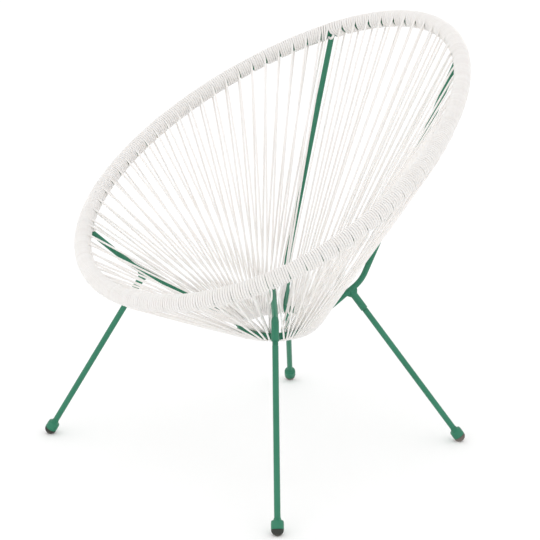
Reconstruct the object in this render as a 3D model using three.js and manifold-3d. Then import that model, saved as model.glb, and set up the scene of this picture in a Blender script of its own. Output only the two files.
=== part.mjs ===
// An acapulco lounge chair: a tilted steel hoop and a small steel ring, strung with white vinyl cord,
// on four bent struts and four screw-in legs with domed rubber feet.
// Lengths are in millimetres. +Z is up, the floor is Z = 0, X = 0 is the middle plane, and the chair faces -Y.

import * as THREE from 'three';
import { mergeVertices } from 'three/addons/utils/BufferGeometryUtils.js';
import Module from 'manifold-3d';

// The hoop, measured to the middle of its tube
const rimHalfWidth = 360;
const rimHalfDepth = 397;
const rimFrontHeight = 398;
const rimBackHeight = 841;
const rimEggShare = 0.098;
const rimTubeDiameter = 25;
const rimSides = 10;

// The small ring that every cord comes down to, measured to the middle of its rod
const ringRadius = 77;
const ringRodDiameter = 10;
const ringHeight = 261;
const ringTilt = THREE.MathUtils.degToRad(7);
const ringRodSides = 8;
const ringSteps = 40;

// The cord, drawn thin by its tension, and the close first layer of it that hides the hoop
const cordDiameter = 3.8;
const cordSides = 5;
const sleeveDiameter = 28.4;
const cordSeatClearance = 0.6;
const frontSpokes = 19;
const sideSpokes = 23;
const backSpokes = 13;
const rimTurnSteps = 5;
const ringTurnSteps = 3;
const cordTailLength = 10;
const sleeveGapAtStrut = 9;
const ringGapAtArm = 5.3;
const ringGapUnderCrossing = 9.9;
const leastCordGap = 0.4;

// The struts, each a bent rod from the ring, past the leg's socket, to the hoop. Where they meet the hoop is
// a share of its length, from the middle of its front or of its back.
const strutRodDiameter = 12;
const strutSides = 10;
const bendSteps = 5;
const frontStrutShare = 0.1268;
const backStrutShare = 0.0803;
const frontArmAngle = THREE.MathUtils.degToRad(-45);
const backArmAngle = THREE.MathUtils.degToRad(50.5);
const frontBendRun = 26;
const backBendRun = 29.5;
const bendRadius = 80;

// The sockets that the legs screw into, placed where their middle line meets the strut's: a share of the way
// from the ring to the hoop, so far under the straight line between the two, and so far to its left
const frontSocketShare = 0.624;
const frontSocketDrop = 26.4;
const frontSocketSway = 2.9;
const backSocketShare = 0.233;
const backSocketDrop = 65.3;
const backSocketSway = -17.4;
const socketDiameter = 15;
const socketLength = 50;
const socketShoulder = 4.5;
const gussetReach = 12;
const gussetDrop = 13;
const gussetThickness = 8;
const threadDiameter = 10.9;
const threadDepth = 32;

// The legs and their feet
const legDiameter = 12;
const legChamfer = 1;
const frontNeckLength = 8;
const backNeckLength = 2;
const frontFootAside = 353;
const frontFootForward = 325;
const backFootAside = 259;
const backFootBehind = 278;
const cupDiameter = 24.5;
const cupLength = 17.5;
const cupShoulder = 2.5;
const cupWall = 2.6;
const cupCollarDiameter = 16;
const cupCollarLength = 3;
const padDiameter = 24;
const padStemLength = 8;
const padFlatDepth = 0.9;

// Clearances
const touchGap = 0.3;
const threadClearance = 0.3;

// Facets of the turned pieces
const socketFacets = 16;
const legFacets = 12;
const footFacets = 20;
const domeSteps = 6;

// Finishes
const frameGreen = new THREE.MeshStandardMaterial({ color: 0x3f8468, roughness: 0.45, metalness: 0.15 });
const cordWhite = new THREE.MeshStandardMaterial({ color: 0xf1eeea, roughness: 0.5, metalness: 0 });
const rubberGrey = new THREE.MeshStandardMaterial({ color: 0x45453f, roughness: 0.8, metalness: 0 });

const group = new THREE.Group();
const manifold = await Module();
manifold.setup();

function addMesh(name, geometry, material, parent = group) {
  const mesh = new THREE.Mesh(geometry, material);
  mesh.name = name;
  parent.add(mesh);
  return mesh;
}

// Solids: plain meshes to and from the library that joins and cuts them

function toSolid(geometry) {
  const bare = geometry.clone();
  bare.deleteAttribute('normal');
  bare.deleteAttribute('uv');
  const merged = mergeVertices(bare);
  const corners = merged.index.array;
  const triVerts = [];
  for (let i = 0; i < corners.length; i += 3) {
    const [a, b, c] = [corners[i], corners[i + 1], corners[i + 2]];
    if (a !== b && b !== c && c !== a) triVerts.push(a, b, c);
  }
  return new manifold.Manifold(new manifold.Mesh({
    numProp: 3,
    vertProperties: Float32Array.from(merged.attributes.position.array),
    triVerts: Uint32Array.from(triVerts),
  }));
}

function toGeometry(solid) {
  const mesh = solid.getMesh();
  const geometry = new THREE.BufferGeometry();
  geometry.setAttribute('position', new THREE.Float32BufferAttribute(mesh.vertProperties, 3));
  geometry.setIndex(Array.from(mesh.triVerts));
  geometry.computeVertexNormals();
  return geometry;
}

// Skins: closed solids made of rings of points, joined ring to ring

class Skin {
  constructor() {
    this.positions = [];
    this.indices = [];
  }

  ring(points) {
    const first = this.positions.length / 3;
    points.forEach((point) => this.positions.push(point.x, point.y, point.z));
    return { first, count: points.length };
  }

  band(near, far) {
    for (let i = 0; i < near.count; i += 1) {
      const j = (i + 1) % near.count;
      this.indices.push(near.first + i, near.first + j, far.first + j);
      this.indices.push(near.first + i, far.first + j, far.first + i);
    }
  }

  cap(ring, isFarEnd) {
    for (let i = 1; i < ring.count - 1; i += 1) {
      const [left, right] = isFarEnd ? [i, i + 1] : [i + 1, i];
      this.indices.push(ring.first, ring.first + left, ring.first + right);
    }
  }

  // Faces point outwards when the volume that they close comes out positive
  finish() {
    const corner = (i) => new THREE.Vector3().fromArray(this.positions, 3 * this.indices[i]);
    let volume = 0;
    for (let i = 0; i < this.indices.length; i += 3) {
      volume += corner(i).dot(corner(i + 1).cross(corner(i + 2)));
    }
    if (volume < 0) this.indices.reverse();
    const geometry = new THREE.BufferGeometry();
    geometry.setAttribute('position', new THREE.Float32BufferAttribute(this.positions, 3));
    geometry.setIndex(this.indices);
    geometry.computeVertexNormals();
    return geometry;
  }
}

function headingFrom(start, end) {
  return end.clone().sub(start).normalize();
}

// A round bar along straight runs, whose sections at the corners lie in the plane that halves the bend
function mitredBar(points, diameter, sides) {
  const skin = new Skin();
  let heading = headingFrom(points[0], points[1]);
  const turned = new THREE.Quaternion().setFromUnitVectors(new THREE.Vector3(0, 0, 1), heading);
  let section = Array.from({ length: sides }, (_, side) => {
    const angle = (2 * Math.PI * side) / sides;
    const spot = new THREE.Vector3(Math.cos(angle), Math.sin(angle), 0).multiplyScalar(diameter / 2);
    return spot.applyQuaternion(turned).add(points[0]);
  });
  let previous = skin.ring(section);
  skin.cap(previous, false);
  for (let i = 1; i < points.length; i += 1) {
    const next = i + 1 < points.length ? headingFrom(points[i], points[i + 1]) : heading;
    const halving = heading.clone().add(next).normalize();
    section = section.map((spot) => {
      const run = points[i].clone().sub(spot).dot(halving) / heading.dot(halving);
      return spot.clone().addScaledVector(heading, run);
    });
    const current = skin.ring(section);
    skin.band(previous, current);
    previous = current;
    heading = next;
  }
  skin.cap(previous, true);
  return skin.finish();
}

// The hoop's line: an egg-shaped loop on a tilted plane, from the middle of the front round by the right

const rimMiddleHeight = (rimFrontHeight + rimBackHeight) / 2;
const rimHalfRise = (rimBackHeight - rimFrontHeight) / 2;
const rimUp = new THREE.Vector3(0, -rimHalfRise, rimHalfDepth).normalize();

class RimLine extends THREE.Curve {
  getPoint(share, target = new THREE.Vector3()) {
    const turn = 2 * Math.PI * share - Math.PI / 2;
    const backward = Math.sin(turn);
    const aside = rimHalfWidth * Math.cos(turn) * (1 - rimEggShare * backward);
    return target.set(aside, backward * rimHalfDepth, rimMiddleHeight + backward * rimHalfRise);
  }
}

const rimLine = new RimLine();
rimLine.arcLengthDivisions = 720;
const rimLength = rimLine.getLength();

function rimPoint(reach) {
  return rimLine.getPointAt(THREE.MathUtils.euclideanModulo(reach / rimLength, 1));
}

function rimHeading(reach) {
  return rimLine.getTangentAt(THREE.MathUtils.euclideanModulo(reach / rimLength, 1));
}

// A section across the hoop, a polygon whose corners lie on the circle of the given diameter
function rimSection(reach, diameter) {
  const middle = rimPoint(reach);
  const outward = rimHeading(reach).cross(rimUp).normalize();
  return Array.from({ length: rimSides }, (_, side) => {
    const angle = (2 * Math.PI * (side + 0.5)) / rimSides;
    const spot = middle.clone().addScaledVector(outward, (diameter / 2) * Math.cos(angle));
    return spot.addScaledVector(rimUp, (diameter / 2) * Math.sin(angle));
  });
}

// The ring's line, by its angle from +X towards the back

function ringPoint(angle) {
  const backward = ringRadius * Math.sin(angle);
  return new THREE.Vector3(
    ringRadius * Math.cos(angle),
    backward * Math.cos(ringTilt),
    ringHeight + backward * Math.sin(ringTilt),
  );
}

function ringHeading(angle) {
  const backward = Math.cos(angle);
  return new THREE.Vector3(-Math.sin(angle), backward * Math.cos(ringTilt), backward * Math.sin(ringTilt));
}

// The four corners of the base: where each strut starts and ends, and where its leg stands

const footHeight = padDiameter / 2 - padFlatDepth;
const frontCorner = {
  end: 'front',
  ringAngle: frontArmAngle,
  rimReach: rimLength * frontStrutShare,
  socketShare: frontSocketShare,
  socketDrop: frontSocketDrop,
  socketSway: frontSocketSway,
  foot: new THREE.Vector3(frontFootAside, -frontFootForward, footHeight),
  bendRun: frontBendRun,
  neckLength: frontNeckLength,
};
const backCorner = {
  end: 'back',
  ringAngle: backArmAngle,
  rimReach: rimLength / 2 - rimLength * backStrutShare,
  socketShare: backSocketShare,
  socketDrop: backSocketDrop,
  socketSway: backSocketSway,
  foot: new THREE.Vector3(backFootAside, backFootBehind, footHeight),
  bendRun: backBendRun,
  neckLength: backNeckLength,
};
[frontCorner, backCorner].forEach((corner) => {
  corner.ringEnd = ringPoint(corner.ringAngle);
  corner.rimEnd = rimPoint(corner.rimReach);
  const run = corner.rimEnd.clone().sub(corner.ringEnd);
  const leftward = new THREE.Vector3(-run.y, run.x, 0).normalize();
  corner.socket = corner.ringEnd.clone().addScaledVector(run, corner.socketShare);
  corner.socket.addScaledVector(leftward, corner.socketSway);
  corner.socket.z -= corner.socketDrop;
  corner.rising = headingFrom(corner.ringEnd, corner.socket);
  corner.bend = corner.socket.clone().addScaledVector(corner.rising, corner.bendRun);
  corner.leaving = headingFrom(corner.bend, corner.rimEnd);
});

// A strut's middle line: straight up from the ring past the socket, round one bend, and straight to the hoop.
// It starts short of the ring's own middle line, so that its end leaves nothing beyond the ring's rod.
function strutLine(corner) {
  const { rising, leaving } = corner;
  const start = corner.ringEnd.clone().addScaledVector(rising, ringRodDiameter / 4);
  const bendAngle = rising.angleTo(leaving);
  const arcStart = corner.bend.clone().addScaledVector(rising, -bendRadius * Math.tan(bendAngle / 2));
  const towardsMiddle = leaving.clone().addScaledVector(rising, -leaving.dot(rising)).normalize();
  const arcMiddle = arcStart.clone().addScaledVector(towardsMiddle, bendRadius);
  const arc = Array.from({ length: bendSteps + 1 }, (_, step) => {
    const angle = (bendAngle * step) / bendSteps;
    const spot = arcMiddle.clone().addScaledVector(towardsMiddle, -bendRadius * Math.cos(angle));
    return spot.addScaledVector(rising, bendRadius * Math.sin(angle));
  });
  return [start, ...arc, corner.rimEnd];
}

// The four stretches of cord, from strut to strut: where each lies along the hoop and round the ring.
// A strut leans along the hoop, so it passes through the cord a little before its own end, and the side
// cords cross over the back arms, so they keep further from them at the ring.

const fullTurn = 2 * Math.PI;

function crossingReach(corner) {
  const lean = corner.leaving.dot(rimHeading(corner.rimReach));
  return corner.rimReach - (sleeveDiameter / 2) * (lean / Math.sqrt(1 - lean * lean));
}

const rightFront = { reach: crossingReach(frontCorner), angle: frontArmAngle };
const rightBack = { reach: crossingReach(backCorner), angle: backArmAngle };
const leftBack = { reach: rimLength - rightBack.reach, angle: Math.PI - backArmAngle };
const leftFront = { reach: rimLength - rightFront.reach, angle: Math.PI - frontArmAngle };
const leftFrontBefore = { reach: leftFront.reach - rimLength, angle: leftFront.angle - fullTurn };
const beside = ringGapAtArm / ringRadius;
const under = ringGapUnderCrossing / ringRadius;

const stretches = [
  { name: 'front', from: leftFrontBefore, to: rightFront, ringGaps: [beside, beside], spokes: frontSpokes },
  { name: 'right', from: rightFront, to: rightBack, ringGaps: [beside, under], spokes: sideSpokes },
  { name: 'back', from: rightBack, to: leftBack, ringGaps: [beside, beside], spokes: backSpokes },
  { name: 'left', from: leftBack, to: leftFront, ringGaps: [under, beside], spokes: sideSpokes },
];

// The two lengths of cord in each stretch, in the order that they are strung
const cordHalves = {
  front: ['left', 'right'],
  right: ['front', 'back'],
  back: ['right', 'left'],
  left: ['back', 'front'],
};

stretches.forEach((stretch) => {
  const firstAngle = stretch.from.angle + stretch.ringGaps[0];
  const lastAngle = stretch.to.angle - stretch.ringGaps[1];
  stretch.places = Array.from({ length: stretch.spokes }, (_, spoke) => {
    const share = (spoke + 0.5) / stretch.spokes;
    return {
      reach: THREE.MathUtils.lerp(stretch.from.reach, stretch.to.reach, share),
      angle: THREE.MathUtils.lerp(firstAngle, lastAngle, share),
    };
  });
  stretch.sleeveStart = stretch.from.reach + sleeveGapAtStrut;
  stretch.sleeveEnd = stretch.to.reach - sleeveGapAtStrut;
  stretch.stations = [stretch.sleeveStart, ...stretch.places.map((place) => place.reach), stretch.sleeveEnd];
});

// The hoop's tube, one closed loop with a section at each cord

function rimTube(diameter) {
  const skin = new Skin();
  const stations = stretches.flatMap((stretch) => stretch.stations);
  const rings = stations.map((reach) => skin.ring(rimSection(reach, diameter)));
  rings.forEach((ring, i) => skin.band(ring, rings[(i + 1) % rings.length]));
  return skin.finish();
}

addMesh('rim_tube', rimTube(rimTubeDiameter), frameGreen);

// The first layer of cord on the hoop, a close sleeve for each stretch

function wrapSleeve(stretch) {
  const skin = new Skin();
  const boreDiameter = rimTubeDiameter + 2 * touchGap / Math.cos(Math.PI / rimSides);
  const outer = stretch.stations.map((reach) => skin.ring(rimSection(reach, sleeveDiameter)));
  const inner = stretch.stations.map((reach) => skin.ring(rimSection(reach, boreDiameter)));
  for (let i = 1; i < stretch.stations.length; i += 1) {
    skin.band(outer[i - 1], outer[i]);
    skin.band(inner[i], inner[i - 1]);
  }
  skin.band(inner[0], outer[0]);
  skin.band(outer.at(-1), inner.at(-1));
  return skin.finish();
}

stretches.forEach((stretch) => addMesh(`rim_wrap_${stretch.name}`, wrapSleeve(stretch), cordWhite));

// The seat cord: it goes down to the ring on the inside of the seat, round the ring's rod, up on the outside,
// and over the hoop to the next place. Each stretch is strung with two lengths, each one unbroken cord.

const rimTurnRadius = (sleeveDiameter + cordDiameter) / 2 + cordSeatClearance;
const ringTurnRadius = (ringRodDiameter + cordDiameter) / 2 + touchGap;

// A corner of the cord where it turns round a bar. The turn share runs from 0, where the cord comes on,
// to 1, where it goes off half a turn later, and the corners lie so that each straight just clears the bar.
function turnCorner(middle, across, beyond, turnRadius, corner, corners) {
  const angle = (Math.PI * (corner + 0.5)) / corners;
  const reach = turnRadius / Math.cos(Math.PI / (2 * corners));
  const spot = middle.clone().addScaledVector(across, reach * Math.cos(angle));
  return spot.addScaledVector(beyond, reach * Math.sin(angle));
}

function rimTurn(from, to) {
  return Array.from({ length: rimTurnSteps }, (_, corner) => {
    const share = corner / (rimTurnSteps - 1);
    const reach = THREE.MathUtils.lerp(from.reach, to.reach, share);
    const angle = THREE.MathUtils.lerp(from.angle, to.angle, share);
    const middle = rimPoint(reach);
    const heading = rimHeading(reach);
    const inside = heading.clone().cross(headingFrom(middle, ringPoint(angle))).normalize();
    const beyond = heading.clone().cross(inside);
    return turnCorner(middle, inside.negate(), beyond, rimTurnRadius, corner, rimTurnSteps);
  });
}

function ringTurn(place) {
  const middle = ringPoint(place.angle);
  const heading = ringHeading(place.angle);
  const inside = heading.clone().cross(headingFrom(rimPoint(place.reach), middle)).normalize();
  const beyond = inside.clone().cross(heading);
  return Array.from({ length: ringTurnSteps }, (_, corner) => (
    turnCorner(middle, inside, beyond, ringTurnRadius, corner, ringTurnSteps)
  ));
}

function cordRoute(stretch) {
  const { places } = stretch;
  const first = places[0];
  const last = places.at(-1);
  const route = rimTurn({ ...first, reach: first.reach - cordTailLength }, first);
  places.forEach((place, i) => {
    const next = places[i + 1] ?? { ...last, reach: last.reach + cordTailLength };
    route.push(...ringTurn(place), ...rimTurn(place, next));
  });
  return route;
}

// The two lengths of a stretch, which meet end to end over the hoop, between its middle places
function cordLengths(stretch) {
  const route = cordRoute(stretch);
  const placesBefore = Math.ceil(stretch.spokes / 2);
  const cornersBefore = placesBefore * (ringTurnSteps + rimTurnSteps) + Math.ceil(rimTurnSteps / 2);
  const before = route[cornersBefore - 1];
  const after = route[cornersBefore];
  const heading = headingFrom(before, after);
  const meeting = before.clone().add(after).divideScalar(2);
  const end = meeting.clone().addScaledVector(heading, -touchGap / 2);
  const start = meeting.clone().addScaledVector(heading, touchGap / 2);
  return [[...route.slice(0, cornersBefore), end], [start, ...route.slice(cornersBefore)]];
}

// The least gap from the cord to itself, measured between its straights that don't share a corner
function leastGap(route) {
  let least = Infinity;
  const onFirst = new THREE.Vector3();
  const onSecond = new THREE.Vector3();
  for (let i = 0; i < route.length - 1; i += 1) {
    for (let j = i + 2; j < route.length - 1; j += 1) {
      least = Math.min(least, straightDistance(route[i], route[i + 1], route[j], route[j + 1], onFirst, onSecond));
    }
  }
  return least - cordDiameter;
}

function straightDistance(startA, endA, startB, endB, onA, onB) {
  const alongA = endA.clone().sub(startA);
  const alongB = endB.clone().sub(startB);
  const between = startA.clone().sub(startB);
  const [aa, ab, bb] = [alongA.dot(alongA), alongA.dot(alongB), alongB.dot(alongB)];
  const [ac, bc] = [alongA.dot(between), alongB.dot(between)];
  const spread = aa * bb - ab * ab;
  let shareA = spread > 0 ? THREE.MathUtils.clamp((ab * bc - ac * bb) / spread, 0, 1) : 0;
  const shareB = THREE.MathUtils.clamp((ab * shareA + bc) / bb, 0, 1);
  shareA = THREE.MathUtils.clamp((ab * shareB - ac) / aa, 0, 1);
  onA.copy(startA).addScaledVector(alongA, shareA);
  onB.copy(startB).addScaledVector(alongB, shareB);
  return onA.distanceTo(onB);
}

stretches.forEach((stretch) => {
  cordLengths(stretch).forEach((route, half) => {
    const name = `seat_cord_${stretch.name}_${cordHalves[stretch.name][half]}`;
    const gap = leastGap(route);
    const verdict = gap > leastCordGap ? 'clear' : 'too close';
    console.log(`${name}: least gap to itself ${gap.toFixed(2)} mm, ${verdict}`);
    addMesh(name, mitredBar(route, cordDiameter, cordSides), cordWhite);
  });
});

// The ring under the seat, a rod bent round and welded shut

function ringRod(diameter) {
  const geometry = new THREE.TorusGeometry(ringRadius, diameter / 2, ringRodSides, ringSteps);
  geometry.applyMatrix4(new THREE.Matrix4().makeRotationX(ringTilt));
  geometry.applyMatrix4(new THREE.Matrix4().makeTranslation(0, 0, ringHeight));
  return geometry;
}

addMesh('base_ring', ringRod(ringRodDiameter), frameGreen);

// The struts, each cut to sit on the ring's rod below and on the hoop's tube above

function mirrored(vector) {
  return new THREE.Vector3(-vector.x, vector.y, vector.z);
}

const corners = [frontCorner, backCorner].flatMap((corner) => [
  { ...corner, name: `${corner.end}_right` },
  {
    ...corner,
    name: `${corner.end}_left`,
    ringEnd: mirrored(corner.ringEnd),
    rimEnd: mirrored(corner.rimEnd),
    socket: mirrored(corner.socket),
    foot: mirrored(corner.foot),
    bend: mirrored(corner.bend),
    rising: mirrored(corner.rising),
    leaving: mirrored(corner.leaving),
  },
]);

const ringCutter = toSolid(ringRod(ringRodDiameter + 2 * touchGap));
const rimCutter = toSolid(rimTube(rimTubeDiameter + 2 * touchGap));

corners.forEach((corner) => {
  const rod = toSolid(mitredBar(strutLine(corner), strutRodDiameter, strutSides));
  addMesh(`strut_${corner.name}`, toGeometry(rod.subtract(ringCutter).subtract(rimCutter)), frameGreen);
});

// Each leg stands in a group of its own, whose Z runs down the leg from the socket's place on the strut
// and whose X runs along the strut

function legFrame(corner) {
  const down = headingFrom(corner.socket, corner.foot);
  const aside = down.clone().cross(corner.rising).normalize();
  const along = aside.clone().cross(down);
  const frame = new THREE.Group();
  frame.quaternion.setFromRotationMatrix(new THREE.Matrix4().makeBasis(along, aside, down));
  frame.position.copy(corner.socket);
  frame.updateMatrix();
  group.add(frame);
  return frame;
}

// Turned pieces are lathed round Y and then stood along Z
function turned(outline, facets) {
  const geometry = new THREE.LatheGeometry(outline.map(([radius, run]) => new THREE.Vector2(radius, run)), facets);
  return geometry.applyMatrix4(new THREE.Matrix4().makeRotationX(Math.PI / 2));
}

// The socket: a tapped sleeve, its top cut to sit under the strut, with a gusset to each side along the strut
function socketSolid(corner, frame) {
  const radius = socketDiameter / 2;
  const boreRadius = threadDiameter / 2 + threadClearance;
  const boreTop = socketLength - threadDepth - threadClearance;
  const sleeve = toSolid(turned([
    [0, 0],
    [radius - socketShoulder / 2, 0],
    [radius, socketShoulder + strutRodDiameter / 2],
    [radius, socketLength],
    [boreRadius, socketLength],
    [boreRadius, boreTop],
    [0, boreTop],
  ], socketFacets));
  const webShape = new THREE.Shape([
    new THREE.Vector2(-gussetReach, strutRodDiameter / 4),
    new THREE.Vector2(gussetReach, strutRodDiameter / 4),
    new THREE.Vector2(gussetReach, strutRodDiameter / 2),
    new THREE.Vector2(radius - touchGap, gussetDrop),
    new THREE.Vector2(touchGap - radius, gussetDrop),
    new THREE.Vector2(-gussetReach, strutRodDiameter / 2),
  ]);
  const web = new THREE.ExtrudeGeometry(webShape, { depth: gussetThickness, bevelEnabled: false });
  web.applyMatrix4(new THREE.Matrix4().makeTranslation(0, 0, -gussetThickness / 2));
  web.applyMatrix4(new THREE.Matrix4().makeRotationX(Math.PI / 2));
  const strut = mitredBar(strutLine(corner), strutRodDiameter + 2 * touchGap, strutSides);
  strut.applyMatrix4(frame.matrix.clone().invert());
  return toGeometry(sleeve.add(toSolid(web)).subtract(toSolid(strut)));
}

// The leg: a rod whose top is turned down and threaded, with a plain neck below the socket
function legSolid(corner, footRun) {
  const threadRadius = threadDiameter / 2;
  const radius = legDiameter / 2;
  const top = socketLength - threadDepth;
  const shoulder = socketLength + corner.neckLength;
  const end = footRun - padStemLength - touchGap;
  return turned([
    [0, top],
    [threadRadius - legChamfer, top],
    [threadRadius, top + legChamfer],
    [threadRadius, shoulder - legChamfer],
    [radius, shoulder],
    [radius, end],
    [0, end],
  ], legFacets);
}

// The foot cup: welded to the leg's end, open below for the pad's stem
function cupSolid(footRun) {
  const radius = cupDiameter / 2;
  const collar = cupCollarDiameter / 2;
  const legBore = legDiameter / 2 + touchGap;
  const padBore = radius - cupWall;
  const top = footRun - cupLength;
  const floor = footRun - padStemLength - touchGap;
  return turned([
    [legBore, top - cupCollarLength],
    [collar - cupShoulder / 2, top - cupCollarLength],
    [collar, top],
    [radius - cupShoulder, top],
    [radius, top + cupShoulder],
    [radius, footRun],
    [padBore, footRun],
    [padBore, floor],
    [legBore, floor],
    [legBore, top - cupCollarLength],
  ], footFacets);
}

// The pad: a rubber plug with a domed sole, worn flat where it rests on the floor
function padSolid(footRun, frame) {
  const radius = padDiameter / 2;
  const stem = cupDiameter / 2 - cupWall - touchGap;
  const outline = [[0, footRun - padStemLength], [stem, footRun - padStemLength], [stem, footRun + touchGap]];
  for (let step = 0; step < domeSteps; step += 1) {
    const angle = (Math.PI / 2) * (step / domeSteps);
    outline.push([radius * Math.cos(angle), footRun + touchGap + (radius - touchGap) * Math.sin(angle)]);
  }
  outline.push([0, footRun + radius]);
  const floor = new THREE.BoxGeometry(2 * padDiameter, 2 * padDiameter, padDiameter);
  floor.applyMatrix4(new THREE.Matrix4().makeTranslation(0, 0, -padDiameter / 2));
  const foot = new THREE.Vector3(0, 0, footRun).applyMatrix4(frame.matrix);
  floor.applyMatrix4(new THREE.Matrix4().makeTranslation(foot.x, foot.y, 0));
  floor.applyMatrix4(frame.matrix.clone().invert());
  return toGeometry(toSolid(turned(outline, footFacets)).subtract(toSolid(floor)));
}

corners.forEach((corner) => {
  const frame = legFrame(corner);
  const footRun = corner.socket.distanceTo(corner.foot);
  addMesh(`leg_socket_${corner.name}`, socketSolid(corner, frame), frameGreen, frame);
  addMesh(`leg_${corner.name}`, legSolid(corner, footRun), frameGreen, frame);
  addMesh(`foot_cup_${corner.name}`, cupSolid(footRun), frameGreen, frame);
  addMesh(`foot_pad_${corner.name}`, padSolid(footRun, frame), rubberGrey, frame);
});

export default group;
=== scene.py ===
import math

import bmesh
import bpy
import numpy as np
from mathutils import Matrix, Vector


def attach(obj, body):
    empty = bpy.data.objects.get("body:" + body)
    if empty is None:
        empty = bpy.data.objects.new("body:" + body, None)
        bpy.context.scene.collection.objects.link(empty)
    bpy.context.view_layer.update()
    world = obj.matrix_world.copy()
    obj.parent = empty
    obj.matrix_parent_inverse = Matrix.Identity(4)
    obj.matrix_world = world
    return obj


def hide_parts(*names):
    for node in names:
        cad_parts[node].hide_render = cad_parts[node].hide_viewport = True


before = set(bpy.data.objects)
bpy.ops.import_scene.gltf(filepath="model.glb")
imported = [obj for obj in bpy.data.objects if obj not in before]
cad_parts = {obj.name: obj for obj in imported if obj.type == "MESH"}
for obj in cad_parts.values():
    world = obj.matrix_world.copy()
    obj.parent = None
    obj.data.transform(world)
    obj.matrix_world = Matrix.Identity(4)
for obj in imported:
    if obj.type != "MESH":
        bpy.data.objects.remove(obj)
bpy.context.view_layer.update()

# The hoop
# A steel tube bent into an egg-shaped loop and welded shut, tilted so that its back stands high.
# It is powder coated green, and the wound cord hides nearly all of it.

hoop_half_width = 0.360
hoop_half_depth = 0.397
hoop_front_height = 0.398
hoop_back_height = 0.841
hoop_egg_share = 0.098
hoop_tube_width = 0.025
hoop_steps = 240
hoop_sides = 28
coat_dark = (0.015, 0.168, 0.092)
coat_light = (0.022, 0.190, 0.108)
coat_roughness = (0.34, 0.48)
coat_bump_strength = 0.25
coat_relief = 0.0002


def put(tree, kind, setup=None, **inputs):
    """A node, set up first, whose inputs are then wired from sockets or set to plain values"""
    node = tree.nodes.new(kind)
    for label, choice in (setup or {}).items():
        setattr(node, label, choice)
    for label, value in inputs.items():
        wanted = label.replace("_", " ")
        named = [socket for socket in node.inputs if socket.enabled and socket.name == wanted]
        socket = named[0] if named else node.inputs[int(label[1:])]
        if isinstance(value, bpy.types.NodeSocket):
            tree.links.new(value, socket)
        else:
            socket.default_value = value
    return node


def calc(tree, operation, first, second=0.0):
    """One step of arithmetic in a tree"""
    return put(tree, "ShaderNodeMath", {"operation": operation}, _0=first, _1=second).outputs[0]


def start_material(name):
    """A new material with its tree and the inputs of its shader"""
    material = bpy.data.materials.new(name)
    material.use_nodes = True
    return material, material.node_tree, material.node_tree.nodes["Principled BSDF"].inputs


def ramped(tree, factor, *stops):
    """A colour that runs from stop to stop"""
    ramp = put(tree, "ShaderNodeValToRGB", Fac=factor)
    for element, (position, colour) in zip(ramp.color_ramp.elements, stops):
        element.position = position
        element.color = (*colour, 1.0)
    return ramp.outputs["Color"]


def finish_looks(tree, shader, colour, clouds, roughness, grain, strength, relief):
    """Gives a shader its colour, a roughness that follows the clouds and a relief that follows the grain"""
    rough = put(tree, "ShaderNodeMapRange", Value=clouds, To_Min=roughness[0], To_Max=roughness[1])
    bump = put(tree, "ShaderNodeBump", Height=grain, Strength=strength, Distance=relief)
    tree.links.new(colour, shader["Base Color"])
    tree.links.new(rough.outputs["Result"], shader["Roughness"])
    tree.links.new(bump.outputs["Normal"], shader["Normal"])


def powder_coat(name, dark, light):
    """Satin powder coat: a slightly uneven green with a fine orange-peel skin"""
    material, tree, shader = start_material(name)
    shader["Metallic"].default_value = 0.0
    shader["Specular IOR Level"].default_value = 0.42
    place = put(tree, "ShaderNodeTexCoord").outputs["Object"]
    clouds = put(tree, "ShaderNodeTexNoise", Vector=place, Scale=14.0, Detail=3.0).outputs["Fac"]
    skin = put(tree, "ShaderNodeTexNoise", Vector=place, Scale=900.0, Detail=2.0).outputs["Fac"]
    colour = ramped(tree, clouds, (0.35, dark), (0.65, light))
    finish_looks(tree, shader, colour, clouds, coat_roughness, skin, coat_bump_strength, coat_relief)
    return material


frame_green = powder_coat("green powder coat", coat_dark, coat_light)


def start_tree(name, inputs):
    """An empty geometry tree with a named input for each size"""
    tree = bpy.data.node_groups.new(name, "GeometryNodeTree")
    tree.interface.new_socket("Geometry", in_out="OUTPUT", socket_type="NodeSocketGeometry")
    tree.interface.new_socket("Geometry", in_out="INPUT", socket_type="NodeSocketGeometry")
    for label, kind in inputs.items():
        tree.interface.new_socket(label, in_out="INPUT", socket_type=f"NodeSocket{kind}")
    return tree, tree.nodes.new("NodeGroupInput").outputs


def end_tree(tree, geometry, material):
    """Ends a tree in plain smooth geometry that has its material"""
    smooth = put(tree, "GeometryNodeSetShadeSmooth", Geometry=geometry)
    real = put(tree, "GeometryNodeRealizeInstances", Geometry=smooth.outputs[0])
    dressed = put(tree, "GeometryNodeSetMaterial", Geometry=real.outputs[0], Material=material)
    put(tree, "NodeGroupOutput", Geometry=dressed.outputs[0])


def add_object(name, data):
    """A new object in the scene"""
    piece = bpy.data.objects.new(name, data)
    bpy.context.scene.collection.objects.link(piece)
    return piece


def grow(name, tree, sizes, start=None):
    """The piece that a tree makes of its sizes, as a plain mesh"""
    piece = add_object(name, start or bpy.data.meshes.new(name))
    growth = piece.modifiers.new(tree.name, "NODES")
    growth.node_group = tree
    for item in tree.interface.items_tree:
        if item.in_out == "INPUT" and item.name in sizes:
            growth[item.identifier] = sizes[item.name]
    grown = piece.evaluated_get(bpy.context.evaluated_depsgraph_get())
    mesh = bpy.data.meshes.new_from_object(grown)
    piece.modifiers.remove(growth)
    mesh.name = name
    piece.data = mesh
    return piece


def keep(piece, slot, *solids):
    """Says what a finished piece rides on and hides the solids that it stands for. The slot is not used"""
    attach(piece, "root")
    if solids:
        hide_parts(*solids)


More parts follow.
